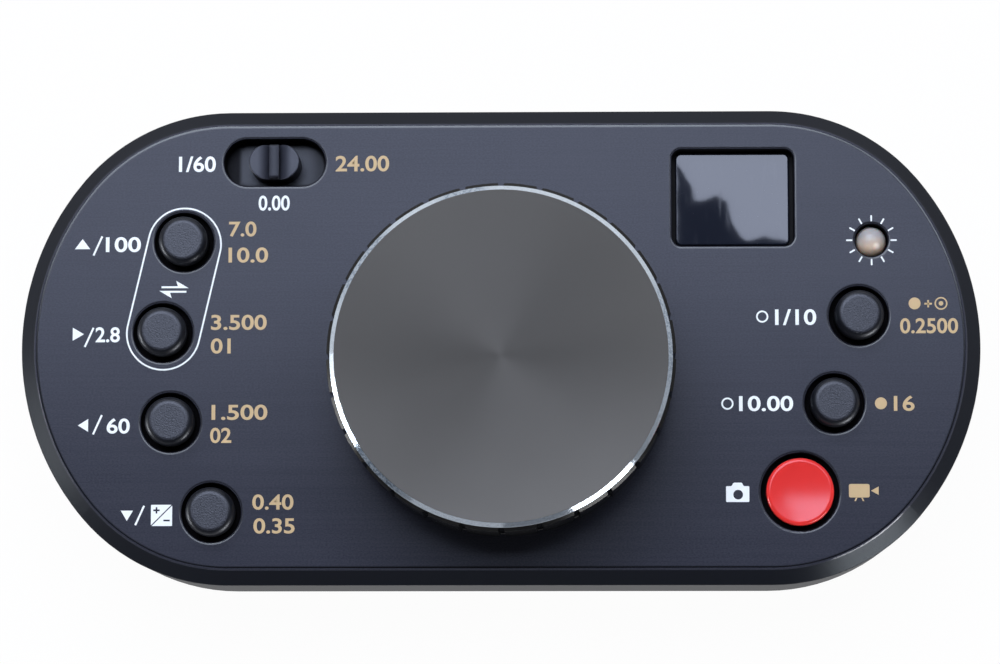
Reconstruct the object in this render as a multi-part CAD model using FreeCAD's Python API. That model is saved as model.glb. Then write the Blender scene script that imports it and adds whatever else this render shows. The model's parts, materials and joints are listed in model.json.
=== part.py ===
import FreeCAD, Part

import math
import os

Vector = FreeCAD.Vector

# Follow focus unit for a camera: a flat machined housing that carries a large jog wheel,
# six keys, a record key, a three-position mode switch, a small display and a status lamp.
# Millimetres. +X is to the right, +Y to the back and +Z up. The origin lies on the table,
# under the middle of the body.

# Body
body_length = 150.0
body_width = 74.5
body_height = 21.7            # underside of the base plate to the face
corner_radius = 30.0          # the tighter arcs between the long sides and the ends
end_radius_margin = 4.0       # an end arc's radius is half the width plus this
face_bevel = 2.5
bevel_round = 0.3             # rounding along both edges of the bevel
wall_thickness = 2.4
plate_thickness = 2.5         # top plate, from the face to its underside
rim_round = 0.25              # rounding round the openings in the face

# Base plate, feet and tripod bush
base_thickness = 2.0
base_ledge = 1.2              # wall left outside the rebate that takes the base plate
base_gap = 0.1                # play of the base plate in its rebate
foot_height = 1.5             # foot below the base plate
foot_recess = 0.5             # depth of the seat that a foot is glued into
foot_radius = 5.0
foot_from_end = 25.0
foot_from_side = 15.0
foot_edge = 0.4               # chamfer on the foot's lower edge
bush_radius = 5.0
bush_flange_radius = 7.5
bush_flange_thickness = 1.5
bush_depth = 6.5              # underside of the base plate to the top of the bush
tripod_thread_radius = 3.175  # 1/4 inch thread, over its crests
tripod_thread_depth = 5.5

# Base screws, M3 countersunk, in bosses that hang from the top plate
base_screw_radius = 1.5
base_screw_head_radius = 2.9
base_screw_length = 8.0
base_screw_key = 2.0          # hexagon socket, across its flats
base_screw_key_depth = 1.0
boss_radius = 3.0
boss_spare_depth = 1.0        # screw hole beyond the screw's tip
end_boss_from_end = 8.0
side_boss_from_side = 5.0
front_boss_from_end = 39.0

# Circuit board on standoffs, held by M2.5 pan head screws
board_thickness = 1.6
board_inset = 1.0             # inside of the wall to the board's edge
board_notch_gap = 0.5         # round a boss
standoff_radius = 2.5
board_screw_radius = 1.25
board_screw_head_radius = 2.3
board_screw_head_height = 1.6
board_screw_grip = 3.4        # thread in the standoff
standoff_spare_depth = 1.0
back_standoff_x = 12.0
back_standoff_y = 18.0
front_standoff_x = 26.0
front_standoff_y = -22.0
end_standoff_from_end = 12.0
end_standoff_y = -12.0

# Keys
key_radius = 3.8
key_rise = 2.8                # flat top of a key above the face
key_shoulder = 1.15           # rounding between a key's side and its flat top
key_well_gap = 0.8            # open ring between a key and its well
key_flange_reach = 0.8        # flange under the plate, past the well's wall
key_flange_thickness = 1.0
key_play = 0.1                # between the flange and the plate
key_stem_radius = 1.6
key_stem_length = 1.0
key_travel = 0.8
record_key_radius = 5.25
record_key_rise = 0.7
record_key_shoulder = 0.6
record_key_dish = 0.35        # depth of the dished top
record_well_gap = 0.78

# Key places: in from the body's near end, and from the centre line
key_left_1_from_end = 25.65
key_left_1_y = 16.35
key_left_2_from_end = 22.45
key_left_2_y = 2.1
key_left_3_from_end = 23.75
key_left_3_y = -11.95
key_left_4_from_end = 30.2
key_left_4_y = -26.0
key_right_1_from_end = 19.1
key_right_1_y = 4.5
key_right_2_from_end = 23.0
key_right_2_y = -9.15
record_key_from_end = 28.45
record_key_y = -22.95

# Tact switches under the keys
tact_size = 6.0
tact_height = 3.5
plunger_radius = 1.75
plunger_proud = 1.3           # above the switch when the key is up
plunger_engaged = 1.5         # inside the switch when the key is up
plunger_play = 0.05           # radial
plunger_end_gap = 0.3         # under the plunger when the key is down

# Mode switch
slot_length = 15.8
slot_width = 7.4
slot_from_end = 39.75
slot_from_back = 8.35
slider_travel = 3.5           # each way from the middle position
slot_collar_depth = 1.35      # wall that hangs from the plate round the slot
slot_collar_wall = 1.2
slider_length = 7.95          # over the round ends
slider_width = 5.4
slider_rise = 1.4             # ridge above the face
slider_edge_round = 0.25
ridge_width = 1.5
ridge_height = 0.3            # above the flat ends
ridge_end_round = 0.5
scoop_radius = 2.4            # of the slopes that fall to the ridge's foot
scoop_start = 2.75            # from the middle of the ridge to where a slope begins
slider_stem = 3.4             # square stem through the dust band
slider_stem_drop = 0.6
slider_stem_gap = 0.35        # between the stem and the slide switch
lever_size = 2.0
lever_grip = 2.0              # lever inside the slider, above the dust band
lever_engaged = 2.5           # lever inside the slide switch
lever_play = 0.1
lever_end_gap = 0.3
band_thickness = 0.6
band_play = 0.15              # between the dust band and the plate
band_side_cover = 0.55
band_end_cover = 0.3          # left over the slot's end at full travel
slide_switch_length = 16.0
slide_switch_width = 6.0

# Display
display_from_end = 38.55
display_from_back = 14.1
display_length = 19.0
display_width = 15.2
display_corner = 1.5
window_side_gap = 0.6
window_edge_gap = 0.35
window_corner = 0.9
window_thickness = 0.8
window_edge_round = 0.25
gasket_thickness = 0.3
module_border = 1.3           # display module past the opening
header_height = 2.2
header_thickness = 2.5

# Status lamp, a 5 mm light-emitting diode on a spacer
lamp_from_end = 17.0
lamp_y = 16.35
lamp_radius = 2.4
lamp_gap = 0.15
lamp_rise = 0.2               # top of the dome above the face
lamp_flange_radius = 2.9
lamp_flange_thickness = 1.0
lamp_spacer_height = 1.0

# Jog wheel
wheel_x = 0.6
wheel_y = -3.5
wheel_height = 18.0           # face of the body to the wheel's top
wheel_gap = 1.0               # under the wheel
wheel_radius = 26.0
wheel_edge = 0.7              # bright chamfer round the top
wheel_edge_round = 0.08       # rounding along both edges of the chamfer
wheel_band = 0.15             # bare metal between the chamfer and the grip ring
wheel_flange = 1.5            # bare metal under the grip ring
wheel_disc = 3.0
wheel_wall = 3.5              # grip seat to the inside of the wheel
hub_radius = 7.5
hub_gap = 0.6                 # over the encoder's bushing
set_screw_radius = 1.5
set_screw_setback = 0.3
set_screw_key = 1.5
set_screw_key_depth = 1.5
set_screw_access_radius = 1.8

# Grip ring
grip_land_count = 28
grip_proud = 0.5              # lands beyond the wheel's edge
grip_web = 1.9                # the wheel's seat to the grooves' floor
grip_groove_depth = 0.6
grip_groove_width = 0.65      # at the groove's floor
grip_groove_flare = 0.35      # added width at the groove's mouth
grip_land_chamfer = 0.5

# Encoder
encoder_radius = 11.0
encoder_height = 9.0
encoder_top = 2.0
encoder_wall = 1.0
encoder_cover_thickness = 1.2
encoder_board_gap = 0.5
bushing_radius = 4.5
bushing_rise = 4.0            # above the face
bushing_hole_gap = 0.1
shaft_radius = 3.0
shaft_play = 0.05             # radial
shaft_grip = 8.4              # shaft inside the wheel's hub
shaft_flat_depth = 0.5
shaft_bottom_gap = 0.15
disc_radius = 9.0
disc_thickness = 0.8
disc_drop = 1.8               # under the inside of the encoder's top
washer_radius = 6.5
washer_thickness = 0.6
nut_width = 12.0              # across the flats
nut_height = 2.0

# Sockets in the back wall
port_gap = 0.15
port_setback = 0.4            # behind the wall's outer face
usb_x = -12.0
usb_width = 13.1
usb_height = 5.7
usb_depth = 14.0
usb_tongue_width = 11.1
usb_tongue_thickness = 1.9
charge_x = 9.0
charge_width = 7.7
charge_height = 4.0
charge_depth = 9.0
charge_tongue_width = 4.6
charge_tongue_thickness = 1.2
socket_shell = 0.4
socket_back = 2.0
tongue_setback = 1.2

# Battery, its lead and connector
battery_length = 40.0
battery_width = 30.0
battery_thickness = 5.5
battery_corner = 2.0
battery_from_end = 35.0
lead_y = 10.0
lead_width = 2.6
lead_thickness = 1.2
lead_drop = 1.6               # centre of the lead above the base plate
lead_run = 2.0
connector_length = 5.0
connector_width = 4.0
connector_height = 3.0

# Control chip on the underside of the board
chip_x = 34.0
chip_y = 4.0
chip_size = 10.0
chip_height = 1.4
chip_gap = 0.1                # between the chip's case and the board
chip_leg_count = 11           # on each side
chip_leg_pitch = 0.8
chip_leg_width = 0.3
chip_leg_thickness = 0.2
chip_leg_reach = 1.0          # out from the case
chip_leg_root = 0.7           # height of the leg's shoulder under the board

# Shared by cuts and joints
cut_margin = 1.0              # a blind cut starts this far outside what it cuts
same_place = 1e-6             # points and levels closer than this are one

# Levels, from the table up
base_z = foot_height
floor_z = base_z + base_thickness
face_z = base_z + body_height
plate_z = face_z - plate_thickness
flange_top_z = plate_z - key_play
stem_z = flange_top_z - key_flange_thickness - key_stem_length
tact_top_z = stem_z - plunger_proud
board_top_z = tact_top_z - tact_height
board_z = board_top_z - board_thickness
band_top_z = plate_z - slot_collar_depth - band_play
band_z = band_top_z - band_thickness
slider_stem_z = band_z - slider_stem_drop
slide_switch_top_z = slider_stem_z - slider_stem_gap
window_z = plate_z - gasket_thickness
module_z = board_top_z + header_height
wheel_z = face_z + wheel_gap
wheel_top_z = face_z + wheel_height
grip_z = wheel_z + wheel_flange
grip_top_z = wheel_top_z - wheel_edge - wheel_band
bushing_top_z = face_z + bushing_rise
hub_z = bushing_top_z + hub_gap
shaft_top_z = hub_z + shaft_grip
encoder_z = plate_z - encoder_height
encoder_floor_z = encoder_z + encoder_cover_thickness
encoder_ceiling_z = plate_z - encoder_top

# Radii of the grip ring, in from its lands
grip_radius = wheel_radius + grip_proud
grip_groove_floor = grip_radius - grip_groove_depth
grip_seat_radius = grip_groove_floor - grip_web

# Places in plan
half_length = body_length / 2
half_width = body_width / 2
key_well_radius = key_radius + key_well_gap
key_flange_radius = key_well_radius + key_flange_reach
record_well_radius = record_key_radius + record_well_gap
record_flange_radius = record_well_radius + key_flange_reach
lamp_hole_radius = lamp_radius + lamp_gap
bushing_hole_radius = bushing_radius + bushing_hole_gap
key_places = {
    "left_1": (key_left_1_from_end - half_length, key_left_1_y),
    "left_2": (key_left_2_from_end - half_length, key_left_2_y),
    "left_3": (key_left_3_from_end - half_length, key_left_3_y),
    "left_4": (key_left_4_from_end - half_length, key_left_4_y),
    "right_1": (half_length - key_right_1_from_end, key_right_1_y),
    "right_2": (half_length - key_right_2_from_end, key_right_2_y),
}
record_place = (half_length - record_key_from_end, record_key_y)
slot_place = (slot_from_end - half_length, half_width - slot_from_back)
display_place = (half_length - display_from_end, half_width - display_from_back)
lamp_place = (half_length - lamp_from_end, lamp_y)
foot_x = half_length - foot_from_end
foot_y = half_width - foot_from_side
foot_places = {
    "front_left": (-foot_x, -foot_y),
    "front_right": (foot_x, -foot_y),
    "back_left": (-foot_x, foot_y),
    "back_right": (foot_x, foot_y),
}
side_boss_y = half_width - side_boss_from_side
end_boss_x = half_length - end_boss_from_end
front_boss_x = half_length - front_boss_from_end
end_standoff_x = half_length - end_standoff_from_end
boss_places = [(0, side_boss_y)]
standoff_places = []
for side in (-1, 1):
    boss_places.append((side * end_boss_x, 0))
    boss_places.append((side * front_boss_x, -side_boss_y))
    standoff_places.append((side * back_standoff_x, back_standoff_y))
    standoff_places.append((side * front_standoff_x, front_standoff_y))
    standoff_places.append((side * end_standoff_x, end_standoff_y))


def disc(place, z, radius, height):
    return Part.makeCylinder(radius, height, Vector(place[0], place[1], z))


def block(place, z, length, width, height):
    corner = Vector(place[0] - length / 2, place[1] - width / 2, z)
    return Part.makeBox(length, width, height, corner)


def fused(first, *others):
    return first.multiFuse(list(others)).removeSplitter()


def prism(wire, height):
    return Part.Face(wire).extrude(Vector(0, 0, height))


def arc(x, y, z, radius, start, end):
    # Arc about (x, y), anticlockwise from one angle to the other, in degrees.
    points = []
    for angle in (start, (start + end) / 2, end):
        turn = math.radians(angle)
        points.append(Vector(x + radius * math.cos(turn), y + radius * math.sin(turn), z))
    return Part.Arc(*points).toShape()


def joined(arcs):
    # Closed wire of arcs in order, with a straight run wherever two of them don't meet.
    edges = []
    for this, following in zip(arcs, arcs[1:] + arcs[:1]):
        edges.append(this)
        start = this.valueAt(this.LastParameter)
        end = following.valueAt(following.FirstParameter)
        if start.distanceToPoint(end) > same_place:
            edges.append(Part.makeLine(start, end))
    return Part.Wire(edges)


def body_outline(inset, z):
    # Outline of the body, or a line a constant distance inside it. Each end is one wide arc
    # between two tighter ones, all tangent to each other and to the long sides.
    length = half_length - inset
    width = half_width - inset
    end_radius = width + end_radius_margin
    tight_radius = corner_radius - inset
    end_x = length - end_radius
    corner_y = width - tight_radius
    corner_x = end_x + math.sqrt((end_radius - tight_radius) ** 2 - corner_y ** 2)
    meet = math.degrees(math.atan2(corner_y, corner_x - end_x))
    return joined([
        arc(end_x, 0, z, end_radius, -meet, meet),
        arc(corner_x, corner_y, z, tight_radius, meet, 90),
        arc(-corner_x, corner_y, z, tight_radius, 90, 180 - meet),
        arc(-end_x, 0, z, end_radius, 180 - meet, 180 + meet),
        arc(-corner_x, -corner_y, z, tight_radius, 180 + meet, 270),
        arc(corner_x, -corner_y, z, tight_radius, 270, 360 - meet),
    ])


def rounded_block(place, z, length, width, height, radius):
    corners = []
    for across, along, start in ((1, 1, 0), (-1, 1, 90), (-1, -1, 180), (1, -1, 270)):
        x = place[0] + across * (length / 2 - radius)
        y = place[1] + along * (width / 2 - radius)
        corners.append(arc(x, y, z, radius, start, start + 90))
    return prism(joined(corners), height)


def stadium(place, z, length, width, height):
    reach = (length - width) / 2
    ends = [
        arc(place[0] + reach, place[1], z, width / 2, -90, 90),
        arc(place[0] - reach, place[1], z, width / 2, 90, 270),
    ]
    return prism(joined(ends), height)


def turned(place, steps):
    # Solid of revolution about the upright axis at `place`. A step is the next corner (r, z) of
    # the half-section, or (r, z, r, z) for an arc through the first point to the second.
    edges = []
    start = Vector(steps[-1][-2], 0, steps[-1][-1])
    for step in steps:
        end = Vector(step[-2], 0, step[-1])
        if len(step) == 4:
            edges.append(Part.Arc(start, Vector(step[0], 0, step[1]), end).toShape())
        else:
            edges.append(Part.makeLine(start, end))
        start = end
    solid = Part.Face(Part.Wire(edges)).revolve(Vector(0, 0, 0), Vector(0, 0, 1), 360)
    return solid.translated(Vector(place[0], place[1], 0))


def hexagon(place, z, across_flats, height, turn=0):
    # Upright hexagonal prism, made as the overlap of three slabs.
    slabs = []
    for step in range(3):
        slab = block((0, 0), z, across_flats, 2 * across_flats, height)
        slab.rotate(Vector(0, 0, 0), Vector(0, 0, 1), turn + 60 * step)
        slabs.append(slab)
    prism_shape = slabs[0].common(slabs[1]).common(slabs[2])
    return prism_shape.translated(Vector(place[0], place[1], 0))


def is_level(shape, z):
    # Whether a flat edge or face lies at one height.
    box = shape.BoundBox
    return abs(box.ZMin - z) < same_place and abs(box.ZMax - z) < same_place


def edges_at(shape, z):
    return [edge for edge in shape.Edges if is_level(edge, z)]


def face_openings(shell):
    # Rims of the openings in the face: every boundary of the top face but its outer one.
    top = max([face for face in shell.Faces if is_level(face, face_z)], key=lambda face: face.Area)
    rims = []
    for wire in top.Wires:
        if not wire.isSame(top.OuterWire):
            rims.extend(wire.Edges)
    return rims


def make_housing():
    shell = prism(body_outline(0, base_z), body_height)
    shell = shell.makeChamfer(face_bevel, edges_at(shell, face_z))
    bevel_edges = edges_at(shell, face_z) + edges_at(shell, face_z - face_bevel)
    shell = shell.makeFillet(bevel_round, bevel_edges)
    cavity = prism(body_outline(wall_thickness, base_z), plate_z - base_z)
    rebate = prism(body_outline(base_ledge, base_z), base_thickness)
    shell = shell.cut(cavity).cut(rebate)
    posts = []
    for place in boss_places:
        posts.append(disc(place, floor_z, boss_radius, plate_z - floor_z))
    for place in standoff_places:
        posts.append(disc(place, board_top_z, standoff_radius, plate_z - board_top_z))
    posts.append(stadium(slot_place, plate_z - slot_collar_depth, slot_length + 2 * slot_collar_wall,
                         slot_width + 2 * slot_collar_wall, slot_collar_depth))
    shell = fused(shell, *posts)
    cuts = []
    for place in boss_places:
        depth = base_screw_length - base_thickness + boss_spare_depth
        cuts.append(disc(place, floor_z, base_screw_radius, depth))
    for place in standoff_places:
        depth = board_screw_grip + standoff_spare_depth
        cuts.append(disc(place, board_top_z, board_screw_radius, depth))
    for place in key_places.values():
        cuts.append(disc(place, plate_z, key_well_radius, plate_thickness))
    cuts.append(disc(record_place, plate_z, record_well_radius, plate_thickness))
    cuts.append(disc(lamp_place, plate_z, lamp_hole_radius, plate_thickness))
    cuts.append(disc((wheel_x, wheel_y), plate_z, bushing_hole_radius, plate_thickness))
    cuts.append(stadium(slot_place, plate_z - slot_collar_depth, slot_length, slot_width,
                        plate_thickness + slot_collar_depth))
    cuts.append(rounded_block(display_place, plate_z, display_length, display_width,
                              plate_thickness, display_corner))
    wall_y = half_width - wall_thickness / 2
    for x, width, height in ((usb_x, usb_width, usb_height), (charge_x, charge_width, charge_height)):
        cuts.append(block((x, wall_y), board_z - height - port_gap, width + 2 * port_gap,
                          2 * wall_thickness, height + 2 * port_gap))
    shell = shell.cut(cuts)
    return shell.makeFillet(rim_round, face_openings(shell))


def base_screw_section(length):
    # Countersunk head flush with the underside of the base plate, and its shank.
    head_height = base_screw_head_radius - base_screw_radius
    return [
        (0, base_z),
        (base_screw_head_radius, base_z),
        (base_screw_radius, base_z + head_height),
        (base_screw_radius, base_z + length),
        (0, base_z + length),
    ]


def make_base_plate():
    plate = prism(body_outline(base_ledge + base_gap, base_z), base_thickness)
    cuts = []
    for place in boss_places:
        cuts.append(turned(place, base_screw_section(base_thickness)))
    for place in foot_places.values():
        cuts.append(disc(place, base_z, foot_radius, foot_recess))
    cuts.append(disc((0, 0), base_z, bush_radius, base_thickness))
    return plate.cut(cuts)


def make_base_screws():
    screws = []
    for place in boss_places:
        screw = turned(place, base_screw_section(base_screw_length))
        screws.append(screw.cut(hexagon(place, base_z, base_screw_key, base_screw_key_depth)))
    return Part.makeCompound(screws)


def make_foot(place):
    return turned(place, [
        (0, 0),
        (foot_radius - foot_edge, 0),
        (foot_radius, foot_edge),
        (foot_radius, foot_height + foot_recess),
        (0, foot_height + foot_recess),
    ])


def make_tripod_bush():
    return turned((0, 0), [
        (tripod_thread_radius, base_z),
        (bush_radius, base_z),
        (bush_radius, floor_z),
        (bush_flange_radius, floor_z),
        (bush_flange_radius, floor_z + bush_flange_thickness),
        (bush_radius, floor_z + bush_flange_thickness),
        (bush_radius, base_z + bush_depth),
        (0, base_z + bush_depth),
        (0, base_z + tripod_thread_depth),
        (tripod_thread_radius, base_z + tripod_thread_depth),
    ])


def make_board():
    board = prism(body_outline(wall_thickness + board_inset, board_z), board_thickness)
    cuts = []
    for place in boss_places:
        cuts.append(disc(place, board_z, boss_radius + board_notch_gap, board_thickness))
    for place in standoff_places:
        cuts.append(disc(place, board_z, board_screw_radius, board_thickness))
    cuts.append(disc((wheel_x, wheel_y), board_z, encoder_radius + encoder_board_gap, board_thickness))
    return board.cut(cuts)


def make_chip():
    # Square case with bent legs along its four sides, soldered to the board's underside.
    chip_place = (chip_x, chip_y)
    case = block(chip_place, board_z - chip_gap - chip_height, chip_size, chip_size, chip_height)
    legs = []
    for number in range(chip_leg_count):
        across = (number - (chip_leg_count - 1) / 2) * chip_leg_pitch
        shoulder = block((chip_size / 2 + chip_leg_reach / 2, across), board_z - chip_leg_root,
                         chip_leg_reach, chip_leg_width, chip_leg_thickness)
        foot = block((chip_size / 2 + chip_leg_reach - chip_leg_thickness / 2, across),
                     board_z - chip_leg_root, chip_leg_thickness, chip_leg_width, chip_leg_root)
        leg = shoulder.fuse(foot)
        for side in range(4):
            turned_leg = leg.rotated(Vector(0, 0, 0), Vector(0, 0, 1), 90 * side)
            legs.append(turned_leg.translated(Vector(chip_x, chip_y, 0)))
    return fused(case, *legs)


def make_board_screws():
    screws = []
    for place in standoff_places:
        screws.append(turned(place, [
            (0, board_z - board_screw_head_height),
            (board_screw_head_radius, board_z - board_screw_head_height),
            (board_screw_head_radius, board_z),
            (board_screw_radius, board_z),
            (board_screw_radius, board_top_z + board_screw_grip),
            (0, board_top_z + board_screw_grip),
        ]))
    return Part.makeCompound(screws)


def key_section(radius, flange_radius, rise, shoulder, dish):
    # From the stem's foot, round the flange under the plate, up the side and over the top,
    # which is flat or, with a dish, sinks towards its middle.
    top_z = face_z + rise
    lean = shoulder * (1 - math.sqrt(0.5))
    section = [
        (0, stem_z),
        (key_stem_radius, stem_z),
        (key_stem_radius, stem_z + key_stem_length),
        (flange_radius, stem_z + key_stem_length),
        (flange_radius, flange_top_z),
        (radius, flange_top_z),
        (radius, top_z - shoulder),
        (radius - lean, top_z - lean, radius - shoulder, top_z),
    ]
    if dish:
        reach = radius - shoulder
        sphere = (reach ** 2 + dish ** 2) / (2 * dish)
        half_way = top_z - dish + sphere - math.sqrt(sphere ** 2 - (reach / 2) ** 2)
        section.append((reach / 2, half_way, 0, top_z - dish))
    else:
        section.append((0, top_z))
    return section


def make_key(place):
    return turned(place, key_section(key_radius, key_flange_radius, key_rise, key_shoulder, 0))


def make_record_key():
    return turned(record_place, key_section(record_key_radius, record_flange_radius,
                                            record_key_rise, record_key_shoulder,
                                            record_key_dish))


def make_plunger(place):
    return disc(place, tact_top_z - plunger_engaged, plunger_radius, plunger_engaged + plunger_proud)


def make_tact_switch(place):
    case = block(place, board_top_z, tact_size, tact_size, tact_height)
    depth = plunger_engaged + key_travel + plunger_end_gap
    return case.cut(disc(place, tact_top_z - depth, plunger_radius + plunger_play, depth))


def make_slider():
    # Finger piece with round ends and a ridge across it. Its flat ends turn down in a round
    # slope to the foot of the ridge.
    x, y = slot_place
    top_z = face_z + slider_rise
    flat_z = top_z - ridge_height
    cap = stadium(slot_place, band_top_z, slider_length, slider_width, flat_z - band_top_z)
    cap = cap.makeFillet(slider_edge_round, edges_at(cap, flat_z))
    slope = block(slot_place, flat_z - scoop_radius, 2 * scoop_start, 2 * slider_width, scoop_radius)
    for side in (-1, 1):
        axis_start = Vector(x + side * scoop_start, y - slider_width, flat_z - scoop_radius)
        slope = slope.cut(Part.makeCylinder(scoop_radius, 2 * slider_width, axis_start, Vector(0, 1, 0)))
    ridge = block(slot_place, band_top_z, ridge_width, slider_width, top_z - band_top_z)
    end_edges = [edge for edge in edges_at(ridge, top_z) if edge.BoundBox.YLength < same_place]
    ridge = ridge.makeFillet(ridge_end_round, end_edges)
    stem = block(slot_place, slider_stem_z, slider_stem, slider_stem, band_top_z - slider_stem_z)
    socket_height = band_top_z + lever_grip - slider_stem_z
    socket = block(slot_place, slider_stem_z, lever_size, lever_size, socket_height)
    return fused(cap.cut(slope), ridge, stem).cut(socket)


def make_dust_band():
    length = slot_length + 2 * (slider_travel + band_end_cover)
    band = stadium(slot_place, band_z, length, slot_width + 2 * band_side_cover, band_thickness)
    return band.cut(block(slot_place, band_z, slider_stem, slider_stem, band_thickness))


def make_lever():
    low_z = slide_switch_top_z - lever_engaged
    return block(slot_place, low_z, lever_size, lever_size, band_top_z + lever_grip - low_z)


def make_slide_switch():
    height = slide_switch_top_z - board_top_z
    case = block(slot_place, board_top_z, slide_switch_length, slide_switch_width, height)
    depth = lever_engaged + lever_end_gap
    run = lever_size + 2 * (slider_travel + lever_end_gap)
    return case.cut(block(slot_place, slide_switch_top_z - depth, run, lever_size + 2 * lever_play, depth))


def window_size():
    return display_length - 2 * window_side_gap, display_width - 2 * window_edge_gap


def make_display_window():
    length, width = window_size()
    pane = rounded_block(display_place, window_z, length, width, window_thickness, window_corner)
    return pane.makeFillet(window_edge_round, edges_at(pane, window_z + window_thickness))


def make_display_gasket():
    length, width = window_size()
    frame = block(display_place, window_z, display_length + 2 * module_border,
                  display_width + 2 * module_border, gasket_thickness)
    return frame.cut(rounded_block(display_place, window_z, length, width, gasket_thickness, window_corner))


def make_display_module():
    return block(display_place, module_z, display_length + 2 * module_border,
                 display_width + 2 * module_border, window_z - module_z)


def make_display_header():
    x, y = display_place
    reach = display_width / 2 + module_border - header_thickness / 2
    strips = []
    for side in (-1, 1):
        strips.append(block((x, y + side * reach), board_top_z, display_length, header_thickness,
                            header_height))
    return Part.makeCompound(strips)


def make_lamp():
    low_z = board_top_z + lamp_spacer_height
    top_z = face_z + lamp_rise
    shoulder_z = top_z - lamp_radius
    bulge = lamp_radius * math.sqrt(0.5)
    return turned(lamp_place, [
        (0, low_z),
        (lamp_flange_radius, low_z),
        (lamp_flange_radius, low_z + lamp_flange_thickness),
        (lamp_radius, low_z + lamp_flange_thickness),
        (lamp_radius, shoulder_z),
        (bulge, shoulder_z + bulge, 0, top_z),
    ])


def make_lamp_spacer():
    return disc(lamp_place, board_top_z, lamp_flange_radius, lamp_spacer_height)


def side_disc(start, end, radius):
    # Cylinder along +X from the wheel's axis, at the height of the set screw.
    place = Vector(start, 0, hub_z + shaft_grip / 2)
    return Part.makeCylinder(radius, end - start, place, Vector(1, 0, 0))


def make_wheel():
    # Turned from one piece: a thick disc with a bright chamfer, a wall that carries the grip
    # ring between its lower flange and its chamfer, and a hub that is clamped on the encoder's
    # shaft.
    inside = grip_seat_radius - wheel_wall
    wheel = turned((0, 0), [
        (0, wheel_top_z - wheel_disc),
        (inside, wheel_top_z - wheel_disc),
        (inside, wheel_z),
        (wheel_radius, wheel_z),
        (wheel_radius, grip_z),
        (grip_seat_radius, grip_z),
        (grip_seat_radius, grip_top_z),
        (wheel_radius, grip_top_z),
        (wheel_radius, wheel_top_z - wheel_edge),
        (wheel_radius - wheel_edge, wheel_top_z),
        (0, wheel_top_z),
    ])
    chamfer_edges = edges_at(wheel, wheel_top_z) + edges_at(wheel, wheel_top_z - wheel_edge)
    wheel = wheel.makeFillet(wheel_edge_round, chamfer_edges)
    wheel = fused(wheel, disc((0, 0), hub_z, hub_radius, wheel_top_z - wheel_disc - hub_z))
    wheel = wheel.cut(disc((0, 0), hub_z, shaft_radius + shaft_play, shaft_grip))
    hub_hole = side_disc(0, hub_radius, set_screw_radius)
    access = side_disc(inside - cut_margin, grip_seat_radius + cut_margin, set_screw_access_radius)
    return wheel.cut([hub_hole, access]).translated(Vector(wheel_x, wheel_y, 0))


def make_set_screw():
    flat = shaft_radius - shaft_flat_depth
    end = hub_radius - set_screw_setback
    screw = side_disc(flat, end, set_screw_radius)
    key = hexagon((0, 0), 0, set_screw_key, set_screw_key_depth)
    key.rotate(Vector(0, 0, 0), Vector(0, 1, 0), 90)
    key.translate(Vector(end - set_screw_key_depth, 0, hub_z + shaft_grip / 2))
    return screw.cut(key).translated(Vector(wheel_x, wheel_y, 0))


def make_grip_ring():
    # Ring of wide lands. The grooves between them flare towards their mouths, and the lands
    # are broken along their upper and lower edges.
    ring = turned((0, 0), [
        (grip_seat_radius, grip_z),
        (grip_radius - grip_land_chamfer, grip_z),
        (grip_radius, grip_z + grip_land_chamfer),
        (grip_radius, grip_top_z - grip_land_chamfer),
        (grip_radius - grip_land_chamfer, grip_top_z),
        (grip_seat_radius, grip_top_z),
    ])
    pitch = 360 / grip_land_count
    # A groove's cutter widens at one rate from the floor to twice the groove's depth.
    beyond = grip_groove_floor + 2 * grip_groove_depth
    floor_half = grip_groove_width / 2
    beyond_half = floor_half + grip_groove_flare
    corners = [
        Vector(grip_groove_floor, -floor_half, grip_z),
        Vector(beyond, -beyond_half, grip_z),
        Vector(beyond, beyond_half, grip_z),
        Vector(grip_groove_floor, floor_half, grip_z),
    ]
    groove = prism(Part.makePolygon(corners + corners[:1]), grip_top_z - grip_z)
    grooves = []
    for number in range(grip_land_count):
        grooves.append(groove.rotated(Vector(0, 0, 0), Vector(0, 0, 1), number * pitch))
    return ring.cut(grooves).translated(Vector(wheel_x, wheel_y, 0))


def make_shaft():
    shaft = disc((0, 0), encoder_floor_z + shaft_bottom_gap, shaft_radius,
                 shaft_top_z - encoder_floor_z - shaft_bottom_gap)
    flat = block((2 * shaft_radius - shaft_flat_depth, 0), hub_z, 2 * shaft_radius,
                 2 * shaft_radius, shaft_grip)
    return shaft.cut(flat).translated(Vector(wheel_x, wheel_y, 0))


def make_code_disc():
    top_z = encoder_ceiling_z - disc_drop
    disc_shape = disc((wheel_x, wheel_y), top_z - disc_thickness, disc_radius, disc_thickness)
    return disc_shape.cut(disc((wheel_x, wheel_y), top_z - disc_thickness, shaft_radius, disc_thickness))


def make_encoder_body():
    bore = shaft_radius + shaft_play
    inside = encoder_radius - encoder_wall
    return turned((wheel_x, wheel_y), [
        (bore, encoder_ceiling_z),
        (inside, encoder_ceiling_z),
        (inside, encoder_z),
        (encoder_radius, encoder_z),
        (encoder_radius, plate_z),
        (bushing_radius, plate_z),
        (bushing_radius, bushing_top_z),
        (bore, bushing_top_z),
    ])


def make_encoder_cover():
    return disc((wheel_x, wheel_y), encoder_z, encoder_radius - encoder_wall, encoder_cover_thickness)


def make_washer():
    ring = disc((wheel_x, wheel_y), face_z, washer_radius, washer_thickness)
    return ring.cut(disc((wheel_x, wheel_y), face_z, bushing_radius, washer_thickness))


def make_nut():
    low_z = face_z + washer_thickness
    nut = hexagon((wheel_x, wheel_y), low_z, nut_width, nut_height)
    return nut.cut(disc((wheel_x, wheel_y), low_z, bushing_radius, nut_height))


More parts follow.
